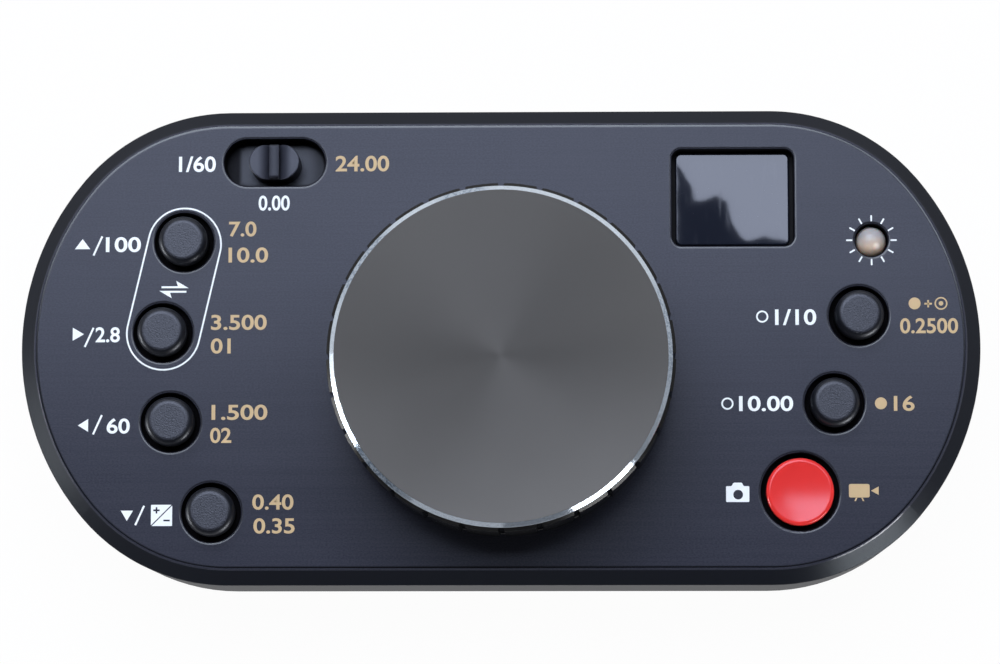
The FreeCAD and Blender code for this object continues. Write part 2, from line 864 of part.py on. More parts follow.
def make_socket(x, width, height, depth, tongue_width, tongue_thickness):
    # Metal shell open to the back, with a solid rear and a flat tongue that carries contacts.
    mouth_y = half_width - port_setback
    middle_y = mouth_y - depth / 2
    low_z = board_z - height
    shell = block((x, middle_y), low_z, width, depth, height)
    hollow = block((x, middle_y + socket_back), low_z + socket_shell, width - 2 * socket_shell,
                   depth, height - 2 * socket_shell)
    tongue_y = (mouth_y - depth + mouth_y - tongue_setback) / 2
    tongue = block((x, tongue_y), low_z + (height - tongue_thickness) / 2, tongue_width,
                   depth - tongue_setback, tongue_thickness)
    return fused(shell.cut(hollow), tongue)


def make_battery():
    return rounded_block((battery_from_end - half_length, 0), floor_z, battery_length,
                         battery_width, battery_thickness, battery_corner)


def lead_levels():
    # Height of the lead's middle where it leaves the battery, and of the connector's underside.
    return floor_z + lead_drop, board_z - connector_height


def lead_end_x():
    low_z, high_z = lead_levels()
    return battery_from_end - half_length + battery_length / 2 + lead_run + (high_z - low_z) / 2


def make_battery_lead():
    # Flat lead: out of the battery's end, round a quarter bend and up into the connector.
    low_z, high_z = lead_levels()
    bend = (high_z - low_z) / 2
    end_x = lead_end_x()
    bend_x = end_x - bend
    start_x = bend_x - lead_run
    half = lead_thickness / 2
    corner = math.sqrt(0.5)
    outer = Part.Arc(Vector(bend_x, 0, low_z - half),
                     Vector(bend_x + (bend + half) * corner, 0, low_z + bend - (bend + half) * corner),
                     Vector(end_x + half, 0, low_z + bend)).toShape()
    inner = Part.Arc(Vector(end_x - half, 0, low_z + bend),
                     Vector(bend_x + (bend - half) * corner, 0, low_z + bend - (bend - half) * corner),
                     Vector(bend_x, 0, low_z + half)).toShape()
    lower = Part.makeLine(Vector(start_x, 0, low_z - half), Vector(bend_x, 0, low_z - half))
    outside = Part.makeLine(Vector(end_x + half, 0, low_z + bend), Vector(end_x + half, 0, high_z))
    top = Part.makeLine(Vector(end_x + half, 0, high_z), Vector(end_x - half, 0, high_z))
    inside = Part.makeLine(Vector(end_x - half, 0, high_z), Vector(end_x - half, 0, low_z + bend))
    upper = Part.makeLine(Vector(bend_x, 0, low_z + half), Vector(start_x, 0, low_z + half))
    start = Part.makeLine(Vector(start_x, 0, low_z + half), Vector(start_x, 0, low_z - half))
    wire = Part.Wire([lower, outer, outside, top, inside, inner, upper, start])
    ribbon = Part.Face(wire).extrude(Vector(0, lead_width, 0))
    return ribbon.translated(Vector(0, lead_y - lead_width / 2, 0))


def make_connector():
    return block((lead_end_x(), lead_y), board_z - connector_height, connector_length, connector_width,
                 connector_height)


pieces = {
    "housing": make_housing(),
    "base_plate": make_base_plate(),
    "base_screws": make_base_screws(),
    "tripod_bush": make_tripod_bush(),
    "main_board": make_board(),
    "control_chip": make_chip(),
    "board_screws": make_board_screws(),
    "record_key": make_record_key(),
    "record_plunger": make_plunger(record_place),
    "record_switch": make_tact_switch(record_place),
    "mode_slider": make_slider(),
    "dust_band": make_dust_band(),
    "switch_lever": make_lever(),
    "slide_switch": make_slide_switch(),
    "display_window": make_display_window(),
    "display_gasket": make_display_gasket(),
    "display_module": make_display_module(),
    "display_header": make_display_header(),
    "status_lamp": make_lamp(),
    "lamp_spacer": make_lamp_spacer(),
    "jog_wheel": make_wheel(),
    "grip_ring": make_grip_ring(),
    "wheel_set_screw": make_set_screw(),
    "encoder_shaft": make_shaft(),
    "code_disc": make_code_disc(),
    "encoder_body": make_encoder_body(),
    "encoder_cover": make_encoder_cover(),
    "encoder_washer": make_washer(),
    "encoder_nut": make_nut(),
    "usb_socket": make_socket(usb_x, usb_width, usb_height, usb_depth, usb_tongue_width,
                              usb_tongue_thickness),
    "charging_socket": make_socket(charge_x, charge_width, charge_height, charge_depth,
                                   charge_tongue_width, charge_tongue_thickness),
    "battery": make_battery(),
    "battery_lead": make_battery_lead(),
    "battery_connector": make_connector(),
}
for name, place in key_places.items():
    pieces["key_" + name] = make_key(place)
    pieces["plunger_" + name] = make_plunger(place)
    pieces["tact_switch_" + name] = make_tact_switch(place)
for name, place in foot_places.items():
    pieces["foot_" + name] = make_foot(place)

os.makedirs("parts", exist_ok=True)
for name, shape in pieces.items():
    print("%-22s solids %d  volume %9.2f mm3" % (name, len(shape.Solids), shape.Volume))
    shape.exportStep("parts/%s.step" % name)
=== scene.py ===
import json
import math

import bpy
from mathutils import Euler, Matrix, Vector


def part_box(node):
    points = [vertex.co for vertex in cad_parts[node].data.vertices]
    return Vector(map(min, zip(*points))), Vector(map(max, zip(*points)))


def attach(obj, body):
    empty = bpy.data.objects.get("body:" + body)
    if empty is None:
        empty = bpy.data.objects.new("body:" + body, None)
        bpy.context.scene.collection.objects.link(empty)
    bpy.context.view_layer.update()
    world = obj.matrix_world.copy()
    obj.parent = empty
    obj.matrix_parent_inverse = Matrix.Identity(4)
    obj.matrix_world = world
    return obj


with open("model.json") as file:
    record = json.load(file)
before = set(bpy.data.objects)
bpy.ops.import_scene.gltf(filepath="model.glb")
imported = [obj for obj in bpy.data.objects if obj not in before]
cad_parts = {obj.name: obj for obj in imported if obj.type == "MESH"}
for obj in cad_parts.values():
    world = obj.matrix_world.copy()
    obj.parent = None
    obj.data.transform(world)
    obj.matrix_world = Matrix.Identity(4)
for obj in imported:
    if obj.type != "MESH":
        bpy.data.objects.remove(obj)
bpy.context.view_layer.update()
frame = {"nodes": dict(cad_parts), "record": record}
nodes = frame["nodes"]
mm = 0.001
for plain in list(bpy.data.materials):
    bpy.data.materials.remove(plain)
print("frame loaded:", len(nodes), "nodes")


def middle(node):
    low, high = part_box(node)
    return (low + high) / 2


def times(colour, share):
    # the same colour, darker or lighter
    return tuple(part * share for part in colour)


keys = sorted(node for node in nodes if node.startswith("key_"))
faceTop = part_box("housing")[1].z
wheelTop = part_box("jog_wheel")[1].z
wheelMiddle = middle("jog_wheel")
wheelReach = (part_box("jog_wheel")[1] - wheelMiddle).x

# outline of the flat face: straight sides, corner arcs and end arcs, which meet at the slope arcSlope
faceForm = {"endCentre": 33.75 * mm, "endRadius": 38.75 * mm, "cornerX": 42.35 * mm, "cornerY": 7.25 * mm,
            "cornerRadius": 27.5 * mm, "arcSlope": 0.843}
# openings of the face: length, width and corner of those that aren't round, radius of those that are
openings = {"slot": (15.8 * mm, 7.4 * mm, 3.7 * mm), "display": (19.0 * mm, 15.2 * mm, 1.5 * mm),
            "keyWell": 4.6 * mm, "recordWell": 6.03 * mm, "lampHole": 2.55 * mm}


# ---- shader maths

class Wire:
    # a socket that can be used in a sum
    def __init__(self, tree, socket):
        self.tree = tree
        self.socket = socket

    def maths(self, operation, *values):
        return self.tree.node("ShaderNodeMath", {"operation": operation}, values)

    def __add__(self, other):
        return self.maths("ADD", self, other)

    __radd__ = __add__

    def __mul__(self, other):
        return self.maths("MULTIPLY", self, other)

    __rmul__ = __mul__

    def __sub__(self, other):
        return self.maths("SUBTRACT", self, other)

    def __rsub__(self, other):
        return self.maths("SUBTRACT", other, self)

    def __pow__(self, other):
        return self.maths("POWER", self, other)

    def above(self, limit):
        return self.maths("GREATER_THAN", self, limit)

    def below(self, limit):
        return self.maths("LESS_THAN", self, limit)

    def least(self, other):
        return self.maths("MINIMUM", self, other)

    def most(self, other):
        return self.maths("MAXIMUM", self, other)

    def sine(self):
        return self.maths("SINE", self)

    def angleTo(self, other):
        return self.maths("ARCTAN2", self, other)

    def root(self):
        return self.maths("SQRT", self)

    def size(self):
        return self.maths("ABSOLUTE", self)

    def ramp(self, start, end, low=0.0, high=1.0):
        # runs smoothly from low to high as the value goes from start to end
        return self.tree.node("ShaderNodeMapRange", {"interpolation_type": "SMOOTHSTEP"}, {
            "Value": self, "From Min": start, "From Max": end, "To Min": low, "To Max": high})


class Tree:
    # the nodes of one material or world
    def __init__(self, owner):
        owner.use_nodes = True
        self.nodes = owner.node_tree.nodes
        self.links = owner.node_tree.links

    def node(self, kind, settings=None, sockets=(), output=0):
        fresh = self.nodes.new(kind)
        for setting, value in (settings or {}).items():
            if setting == "stops":
                self.setStops(fresh.color_ramp, value)
            else:
                setattr(fresh, setting, value)
        for key, value in (sockets.items() if isinstance(sockets, dict) else enumerate(sockets)):
            self.feed(fresh.inputs[key], value)
        return Wire(self, fresh.outputs[output])

    def setStops(self, ramp, stops):
        # a new ramp has two stops already
        for place, colour in stops[2:]:
            ramp.elements.new(place)
        for element, (place, colour) in zip(ramp.elements, stops):
            element.position = place
            element.color = (*colour, 1.0)

    def feed(self, socket, value):
        # links a wire to the socket, or sets the socket's value
        if isinstance(value, Wire):
            self.links.new(value.socket, socket)
        elif socket.type == "RGBA":
            socket.default_value = (*value, 1.0)
        else:
            socket.default_value = value

    def blend(self, share, first, second):
        # colour: first where share is 0, second where it is 1
        return self.node("ShaderNodeMix", {"data_type": "RGBA"}, {0: share, 6: first, 7: second}, output=2)

    def show(self, surface):
        self.feed(self.nodes["Material Output"].inputs["Surface"], surface)


class Finish(Tree):
    # one material, built up by the function of its name
    def __init__(self, name, colour, roughness, metallic=0.0, **constants):
        self.material = bpy.data.materials.new(name)
        super().__init__(self.material)
        self.shader = self.nodes["Principled BSDF"]
        self.surface = Wire(self, self.shader.outputs["BSDF"])
        self.place = self.node("ShaderNodeTexCoord", output="Object")
        self.put("Base Color", colour)
        self.put("Roughness", roughness)
        self.put("Metallic", metallic)
        for key, value in constants.items():
            self.put(key.replace("_", " "), value)

    def put(self, socket, value):
        self.feed(self.shader.inputs[socket], value)

    def axis(self, letter):
        return self.node("ShaderNodeSeparateXYZ", None, (self.place,), output=letter)

    def fromPoint(self, x, y):
        # distance from an upright line through x, y
        return ((self.axis("X") - x) ** 2 + (self.axis("Y") - y) ** 2).root()

    def fromBlock(self, centre, length, width, corner):
        # distance outside a rounded block seen from above, below 0 inside it
        across = ((self.axis("X") - centre.x).size() - (length / 2 - corner)).most(0.0)
        along = ((self.axis("Y") - centre.y).size() - (width / 2 - corner)).most(0.0)
        return (across ** 2 + along ** 2).root() - corner

    def angleAbout(self, x, y):
        return (self.axis("Y") - y).angleTo(self.axis("X") - x)

    def stretched(self, stretch, turn=(0, 0, 0)):
        return self.node("ShaderNodeMapping", None, {
            "Vector": self.place, "Rotation": turn, "Scale": stretch})

    def grain(self, size, stretch=(1, 1, 1), detail=2.0, roughness=0.5):
        # cloudy noise from 0 to 1, one cloud about as wide as size
        spread = tuple(part / size for part in stretch)
        return self.node("ShaderNodeTexNoise", None, {
            "Vector": self.stretched(spread), "Scale": 1.0, "Detail": detail, "Roughness": roughness})

    def rings(self, radius, size, detail):
        # noise that changes only with the distance from an axis, as on a turned piece
        return self.node("ShaderNodeTexNoise", {"noise_dimensions": "1D"},
                         {"W": radius, "Scale": 1 / size, "Detail": detail})

    def specks(self, size, share):
        # 1 inside small round dots, 0 elsewhere
        dots = self.node("ShaderNodeTexVoronoi", None, {"Vector": self.place, "Scale": 1 / size},
                         output="Distance")
        return dots.below(share)

    def bump(self, height, depth):
        relief = self.node("ShaderNodeBump", None, {"Height": height, "Distance": depth, "Strength": 1.0})
        self.put("Normal", relief)
        return relief

    def laidOver(self, share, colour, roughness, **constants):
        # another colour and gloss take over where share is 1
        sockets = {"Base Color": colour, "Roughness": roughness}
        for key, value in constants.items():
            sockets[key.replace("_", " ")] = value
        other = self.node("ShaderNodeBsdfPrincipled", None, sockets)
        self.surface = self.node("ShaderNodeMixShader", None, (share, self.surface, other))
        self.show(self.surface)

    def paintShade(self, share):
        # painted deep shade: a dark layer which hardly mirrors anything
        look = {"colour": (0.0038, 0.0035, 0.0044), "roughness": 0.9, "gloss": 0.1}
        self.laidOver(share, look["colour"], look["roughness"], Specular_IOR_Level=look["gloss"])

    def uneven(self, colour, share, size):
        # the colour with soft patches that are darker or lighter by that share
        patches = self.blend(self.grain(size), times(colour, 1 - share), times(colour, 1 + share))
        self.put("Base Color", patches)


# ---- finishes of the outside

def grained(name, look, **constants):
    # one colour in soft patches, with a fine grain
    finish = Finish(name, look["colour"], look["roughness"], **constants)
    finish.uneven(look["colour"], look["patches"], look["patchSize"])
    finish.bump(finish.grain(look["grain"], detail=look["detail"]), look["relief"])
    return finish


def outlineGap(finish):
    # how far a point of the face lies inside the face's outline
    across, along = finish.axis("X").size(), finish.axis("Y").size()
    pastEnd = (across - faceForm["endCentre"]).most(0.0)
    toEnd = faceForm["endRadius"] - (pastEnd ** 2 + along ** 2).root()
    toCorner = faceForm["cornerRadius"] - ((across - faceForm["cornerX"]).most(0.0) ** 2
                                           + (along - faceForm["cornerY"]).most(0.0) ** 2).root()
    return toCorner + along.below(pastEnd * faceForm["arcSlope"]) * (toEnd - toCorner)


def openingGap(finish):
    # distance from the nearest opening of the face
    nearest = finish.fromBlock(middle("mode_slider"), *openings["slot"])
    nearest = nearest.least(finish.fromBlock(middle("display_window"), *openings["display"]))
    rounds = [(key, openings["keyWell"]) for key in keys]
    rounds += [("record_key", openings["recordWell"]), ("status_lamp", openings["lampHole"])]
    for node, radius in rounds:
        centre = middle(node)
        nearest = nearest.least(finish.fromPoint(centre.x, centre.y) - radius)
    return nearest


def anodisedHousing():
    # the streaked face with its polished rims, the bevel and walls, and painted shade on the insides of the
    # openings
    look = {"face": ((0.0268, 0.0288, 0.0396), (0.0357, 0.0379, 0.0507)), "faceRoughness": 0.19,
            "faceGloss": {"IOR": 1.255, "Specular_Tint": (0.88, 0.93, 1.0)}, "faceDepth": 0.004 * mm,
            "streak": 0.30 * mm, "streakStretch": (0.012, 1, 1), "streakMark": 1.2, "streakRelief": 0.6,
            "grain": 0.20 * mm, "grainStretch": (0.6, 1, 1), "grainMark": 3.6, "grainRelief": 0.9,
            "patch": 9 * mm, "patchStretch": (0.25, 1, 1), "streakRoughness": 0.06, "patchRoughness": 0.05,
            "relief": 0.006 * mm,
            "rim": (0.062, 0.065, 0.064), "rimRoughness": 0.24, "rimShare": 0.75, "rimWidth": 0.52 * mm,
            "rimFull": 0.45, "rimSlope": 0.34,
            "wall": (0.0030, 0.0038, 0.0078), "wallGrain": 0.12 * mm, "wallShade": 0.8,
            "edgeRoughness": 0.13, "edgeDepth": 0.26 * mm, "bevelRoughness": 0.30, "bevelDepth": 2.6 * mm,
            "bevelGloss": {"IOR": 1.235, "Specular_Tint": (0.74, 0.87, 1.0)},
            "wallRoughness": 0.5, "wallGloss": {"IOR": 1.22, "Specular_Tint": (0.80, 0.90, 1.0)},
            "insideRadius": 34.6 * mm, "insideDepth": 0.05 * mm}
    finish = Finish("anodised_housing", look["face"][0], look["faceRoughness"], **look["faceGloss"])
    height = finish.axis("Z")
    onFace = height.above(faceTop - look["faceDepth"])
    pastEnd = (finish.axis("X").size() - faceForm["endCentre"]).most(0.0)
    inside = (pastEnd ** 2 + finish.axis("Y") ** 2).root().below(look["insideRadius"])
    streaks = finish.grain(look["streak"], stretch=look["streakStretch"], detail=3.0)
    grain = finish.grain(look["grain"], stretch=look["grainStretch"])
    patches = finish.grain(look["patch"], stretch=look["patchStretch"])
    marks = (streaks - 0.5) * look["streakMark"] + (grain - 0.5) * look["grainMark"] + 0.5
    finish.put("Base Color", finish.blend(marks.most(0.0).least(1.0), *look["face"]))
    polish = onFace * (look["faceRoughness"] - look["edgeRoughness"]) + look["edgeRoughness"]
    finish.put("Roughness", polish + onFace * (streaks - 0.5) * look["streakRoughness"]
               + (patches - 0.5) * look["patchRoughness"])
    gap = openingGap(finish).least(outlineGap(finish)).most(0.0)
    lip = (look["rimWidth"] - gap).most(0.0) ** 2 * (-look["rimSlope"] / 2 / look["rimWidth"])
    texture = (streaks * look["streakRelief"] + grain * look["grainRelief"]) * look["relief"]
    relief = finish.bump((texture + lip) * onFace, 1.0)
    rim = gap.ramp(look["rimWidth"] * look["rimFull"], look["rimWidth"], 1.0, 0.0) * onFace
    finish.laidOver(rim * look["rimShare"], look["rim"], look["rimRoughness"], Metallic=1.0, Normal=relief)
    wallGrain = finish.grain(look["wallGrain"], detail=1.0)
    walls = finish.blend(wallGrain, times(look["wall"], look["wallShade"]), look["wall"])
    belowEdge = height.below(faceTop - look["edgeDepth"])
    belowBevel = height.below(faceTop - look["bevelDepth"])
    finish.laidOver(belowEdge, walls, look["bevelRoughness"], **look["bevelGloss"])
    finish.laidOver(belowBevel, walls, look["wallRoughness"], **look["wallGloss"])
    # painted shade: the insides of the openings get a dark, nearly matte layer
    finish.paintShade(height.below(faceTop - look["insideDepth"]) * inside)
    return finish


def anodisedBase():
    look = {"colour": (0.017, 0.018, 0.021), "roughness": 0.45, "patches": 0.25, "patchSize": 6 * mm,
            "grain": 0.15 * mm, "detail": 1.0, "relief": 0.006 * mm}
    return grained("anodised_base", look)


def wheelMetal():
    # spun top, slightly dished, with painted shade that makes it a little darker towards its centre; bright
    # edge with patches of painted shade; dark side a patch of painted shade has its place round the edge
    # and its reach, both in radians, and its depth
    look = {"top": (0.0700, 0.0675, 0.0600), "topRoughness": 0.42, "topMetallic": 0.6, "paintedCentreShade": 0.74,
            "spin": {"Anisotropic": 0.82, "Anisotropic_Rotation": 0.25}, "topDepth": 0.03 * mm,
            "ring": 0.22 * mm, "ringShade": 0.04, "ringRoughness": 0.06,
            "haze": 7 * mm, "hazeRoughness": 0.04, "dish": 1.3 * mm, "dishPower": 2.4,
            "relief": 0.0015 * mm,
            "edge": (0.60, 0.67, 0.76), "edgeDepth": 0.72 * mm, "edgeShade": 0.75, "edgePolish": 0.30,
            "nick": 0.5 * mm, "nickRelief": 3.0, "paintedShadeColour": (0.17, 0.22, 0.29), "paintedShadeContrast": (0.40, 0.62),
            "paintedShadeNicks": 0.6, "paintedShadeCore": 0.5, "paintedShadeFade": 1.2, "side": (0.02, 0.021, 0.024),
            "paintedShadePatches": ((-2.45, 0.30, 1.0), (1.80, 0.16, 0.7), (2.55, 0.28, 0.75), (0.12, 0.35, 0.7))}
    finish = Finish("wheel_metal", look["top"], look["topRoughness"], 1.0, **look["spin"])
    radius = finish.fromPoint(wheelMiddle.x, wheelMiddle.y)
    angle = finish.angleAbout(wheelMiddle.x, wheelMiddle.y)
    height = finish.axis("Z")
    onTop = height.above(wheelTop - look["topDepth"])
    onSide = height.below(wheelTop - look["edgeDepth"])
    onEdge = 1 - onTop - onSide
    rings = finish.rings(radius, look["ring"], 3.0)
    haze = finish.grain(look["haze"])
    nicks = finish.grain(look["nick"], detail=3.0)
    paintedShadeShare = 0.0
    # painted shade: dark patches laid into the bright edge's reflection, speckled by the nicks
    for centre, reach, depth in look["paintedShadePatches"]:
        away = (angle - centre).size().ramp(reach * look["paintedShadeCore"], reach * look["paintedShadeFade"])
        paintedShadeShare = (1 - away) * depth + paintedShadeShare
    spotted = nicks.ramp(*look["paintedShadeContrast"]) * look["paintedShadeNicks"] + (1 - look["paintedShadeNicks"])
    outwards = radius * (1 / wheelReach)
    topColour = finish.blend(rings, times(look["top"], 1 - look["ringShade"]),
                             times(look["top"], 1 + look["ringShade"]))
    # painted shade: the top is darker towards its centre
    topColour = finish.blend(outwards ** 2, times(look["top"], look["paintedCentreShade"]), topColour)
    edgeColour = finish.blend(nicks, times(look["edge"], look["edgeShade"]), look["edge"])
    edgeColour = finish.blend(spotted * paintedShadeShare, edgeColour, look["paintedShadeColour"])
    colour = finish.blend(onEdge, topColour, edgeColour)
    finish.put("Base Color", finish.blend(onSide, colour, look["side"]))
    finish.put("Metallic", 1 - onSide - onTop * (1 - look["topMetallic"]))
    finish.put("Roughness", look["topRoughness"] + (rings - 0.5) * look["ringRoughness"]
               + (haze - 0.5) * look["hazeRoughness"] - onEdge * look["edgePolish"])
    dished = outwards ** look["dishPower"] * onTop * look["dish"]
    finish.bump(dished + (rings * onTop + nicks * onEdge * look["nickRelief"]) * look["relief"], 1.0)
    return finish


def gripBlack():
    look = {"colour": (0.0030, 0.0031, 0.0034), "roughness": 0.2, "patches": 0.3, "patchSize": 3 * mm,
            "grain": 0.35 * mm, "detail": 2.0, "relief": 0.006 * mm}
    return grained("grip_black", look, IOR=1.27)


def keyRubber():
    # leather grain on the flat top, smoother towards the shoulder
    look = {"top": ((0.004, 0.0045, 0.0065), (0.021, 0.0225, 0.030)), "topRoughness": 0.38,
            "shoulderRoughness": 0.39, "gloss": {"IOR": 1.53, "Specular_Tint": (0.86, 0.91, 1.0)},
            "grain": 0.23 * mm, "grainStretch": (0.85, 1, 1), "contrast": (0.3, 0.7), "relief": 0.036 * mm,
            "shoulderRelief": 0.15, "shoulderDepth": 0.05 * mm, "wellDepth": 0.3 * mm}
    finish = Finish("key_rubber", look["top"][0], look["topRoughness"], **look["gloss"])
    height = finish.axis("Z")
    onTop = height.above(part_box(keys[0])[1].z - look["shoulderDepth"])
    grain = finish.grain(look["grain"], stretch=look["grainStretch"], detail=3.0, roughness=0.6)
    finish.put("Base Color", finish.blend(grain.ramp(*look["contrast"]) * onTop, *look["top"]))
    finish.put("Roughness", look["shoulderRoughness"]
               + onTop * (look["topRoughness"] - look["shoulderRoughness"]))
    finish.bump(grain * (onTop * (1 - look["shoulderRelief"]) + look["shoulderRelief"]), look["relief"])
    # painted shade on the part of the key that stands down in its well
    finish.paintShade(height.below(faceTop - look["wellDepth"]))
    return finish


def recordRed():
    look = {"colour": (0.78, 0.037, 0.032), "roughness": 0.19, "patches": 0.04, "patchSize": 2 * mm,
            "gloss": {"IOR": 1.44, "Specular_Tint": (0.86, 0.90, 1.0)}, "ripple": 0.45 * mm,
            "grain": 0.25 * mm, "grainRelief": 1.6, "relief": 0.0035 * mm, "wellDepth": 0.25 * mm}
    finish = Finish("record_red", look["colour"], look["roughness"], **look["gloss"])
    centre = middle("record_key")
    ripples = finish.rings(finish.fromPoint(centre.x, centre.y), look["ripple"], 2.0)
    finish.uneven(look["colour"], look["patches"], look["patchSize"])
    finish.bump(ripples + finish.grain(look["grain"]) * look["grainRelief"], look["relief"])
    # painted shade on the part of the key that stands down in its well
    finish.paintShade(finish.axis("Z").below(faceTop - look["wellDepth"]))
    return finish


def sliderBlack():
    # the ridge is crowned, and its top has painted shade as well, so that it is darker than the shelves
    # beside it
    look = {"colour": (0.026, 0.028, 0.037), "roughness": 0.42, "patches": 0.2, "patchSize": 1.5 * mm,
            "gloss": {"IOR": 1.48, "Specular_Tint": (0.84, 0.90, 1.0)}, "grain": 0.15 * mm,
            "relief": 0.006 * mm, "ridge": 0.75 * mm, "ridgeDepth": 0.3 * mm, "ridgeShade": 0.3,
            "crown": 233}
    finish = Finish("slider_black", look["colour"], look["roughness"], **look["gloss"])
    across = finish.axis("X") - middle("mode_slider").x
    nearTop = finish.axis("Z").above(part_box("mode_slider")[1].z - look["ridgeDepth"])
    onRidge = across.size().below(look["ridge"]) * nearTop
    finish.uneven(look["colour"], look["patches"], look["patchSize"])
    grain = finish.grain(look["grain"], detail=3.0) * look["relief"]
    finish.bump(grain - across ** 2 * onRidge * look["crown"], 1.0)
    # painted shade on the ridge's top
    finish.paintShade(onRidge * look["ridgeShade"])
    return finish


def bandBlack():
    # glossy in the middle of the slot, with painted shade towards its walls and at both ends
    look = {"colour": (0.0075, 0.0085, 0.012), "roughness": 0.36, "patches": 0.2, "patchSize": 2 * mm,
            "gloss": {"IOR": 1.42, "Specular_Tint": (0.84, 0.90, 1.0)}, "grain": 0.4 * mm,
            "grainStretch": (0.2, 1, 1), "relief": 0.006 * mm, "wallShade": 1.2 * mm,
            "leftShade": (-6.1 * mm, -5.2 * mm), "leftShare": 0.85,
            "rightShade": (4.5 * mm, 7.2 * mm), "rightShare": 0.5}
    finish = Finish("band_black", look["colour"], look["roughness"], **look["gloss"])
    finish.uneven(look["colour"], look["patches"], look["patchSize"])
    finish.bump(finish.grain(look["grain"], stretch=look["grainStretch"]), look["relief"])
    slot = middle("mode_slider")
    along = finish.axis("X") - slot.x
    # painted shade near the slot's walls and at its two ends
    nearWall = finish.fromBlock(slot, *openings["slot"]).ramp(-look["wallShade"], 0.0)
    nearLeft = (1 - along.ramp(*look["leftShade"])) * look["leftShare"]
    nearRight = along.ramp(*look["rightShade"]) * look["rightShare"]
    finish.paintShade(nearWall.most(nearLeft).most(nearRight))
    return finish


def windowSmoke():
    # dark acrylic, set a little out of level, with wiped smudges, a few specks of dust and hair scratches
    look = {"colour": (0.0088, 0.0110, 0.0185), "roughness": 0.020, "tilt": 0.0253,
            "gloss": {"IOR": 1.49, "Specular_Tint": (0.90, 0.94, 1.0)},
            "mark": (0.10, 0.11, 0.13), "dust": 0.9 * mm, "dustShare": 0.040, "dustRoughness": 0.3,
            "scratchTurn": -0.43, "scratchLong": 14 * mm, "scratchWide": 0.14 * mm, "scratchLimit": 0.845,
            "scratchShare": 0.3, "smudge": 1.1 * mm, "smudgeStretch": (1.0, 0.22, 1),
            "smudgeContrast": (0.5, 0.8), "smudgeColour": (0.0165, 0.0190, 0.0270), "smudgeRoughness": 0.02,
            "wave": 6 * mm, "relief": 0.003 * mm}
    finish = Finish("window_smoke", look["colour"], look["roughness"], **look["gloss"])
    dust = finish.specks(look["dust"], look["dustShare"])
    turned = finish.stretched((1, 1, 1), (0, 0, look["scratchTurn"]))
    drawn = finish.node("ShaderNodeMapping", None, {
        "Vector": turned, "Scale": (1 / look["scratchLong"], 1 / look["scratchWide"], 1)})
    lines = finish.node("ShaderNodeTexNoise", None, {"Vector": drawn, "Scale": 1.0, "Detail": 0.0})
    scratches = lines.above(look["scratchLimit"])
    smudges = finish.grain(look["smudge"], stretch=look["smudgeStretch"], detail=3.0)
    smudges = smudges.ramp(*look["smudgeContrast"])
    tinted = finish.blend(smudges, look["colour"], look["smudgeColour"])
    marks = dust.most(scratches * look["scratchShare"])
    finish.put("Base Color", finish.blend(marks, tinted, look["mark"]))
    finish.put("Roughness", look["roughness"] + dust * look["dustRoughness"]
               + smudges * look["smudgeRoughness"])
    waves = finish.grain(look["wave"], detail=1.0) * look["relief"]
    finish.bump(waves + finish.axis("Y") * look["tilt"], 1.0)
    return finish


def foamBlack():
    look = {"colour": (0.0042, 0.0041, 0.0048), "roughness": 0.8, "patches": 0.4, "patchSize": 0.4 * mm,
            "grain": 0.15 * mm, "detail": 3.0, "relief": 0.03 * mm}
    return grained("foam_black", look, Specular_IOR_Level=0.25)


def lampMilky():
    # diffused epoxy: greyish on the far side, warm on the near side where the chip and its wire sit, with a
    # painted highlight as a bright warm spot
    look = {"colour": (0.6, 0.57, 0.53), "roughness": 0.26,
            "gloss": {"IOR": 1.45, "Subsurface_Weight": 0.25, "Subsurface_Scale": 1 * mm},
            "far": (0.40, 0.38, 0.355), "near": (0.80, 0.60, 0.42), "turnsWarm": (-0.9 * mm, 1.6 * mm),
            "paintedHighlight": (0.98, 0.86, 0.70), "paintedHighlightPlace": (0.80 * mm, -0.95 * mm),
            "paintedHighlightFade": (0.15 * mm, 0.75 * mm), "grain": 0.5 * mm, "relief": 0.004 * mm}
    finish = Finish("lamp_milky", look["colour"], look["roughness"], **look["gloss"])
    centre = middle("status_lamp")
    warm = (centre.y - finish.axis("Y")).ramp(*look["turnsWarm"])
    across, along = look["paintedHighlightPlace"]
    # painted highlight: a bright warm spot in the dome
    paintedHighlight = 1 - finish.fromPoint(centre.x + across, centre.y + along).ramp(*look["paintedHighlightFade"])
    body = finish.blend(warm, look["far"], look["near"])
    finish.put("Base Color", finish.blend(paintedHighlight, body, look["paintedHighlight"]))
    finish.bump(finish.grain(look["grain"]), look["relief"])
    return finish


def footRubber():
    look = {"colour": (0.018, 0.018, 0.018), "roughness": 0.75, "patches": 0.3, "patchSize": 1.5 * mm,
            "grain": 0.2 * mm, "detail": 3.0, "relief": 0.03 * mm}
    return grained("foot_rubber", look)


# ---- finishes of metal parts and of what is inside

def turnedMetal(name, colour, roughness):
    look = {"mark": 0.12 * mm, "markStretch": (1, 1, 6), "markShade": 0.85, "markRoughness": 0.1,
            "relief": 0.004 * mm}
    finish = Finish(name, colour, roughness, 1.0)
    marks = finish.grain(look["mark"], stretch=look["markStretch"])
    finish.put("Base Color", finish.blend(marks, times(colour, look["markShade"]), colour))
    finish.put("Roughness", roughness + (marks - 0.5) * look["markRoughness"])
    finish.bump(marks, look["relief"])
    return finish


def mouldedPlastic(name, colour, roughness):
    look = {"colour": colour, "roughness": roughness, "patches": 0.15, "patchSize": 1.5 * mm,
            "grain": 0.12 * mm, "detail": 2.0, "relief": 0.006 * mm}
    return grained(name, look)


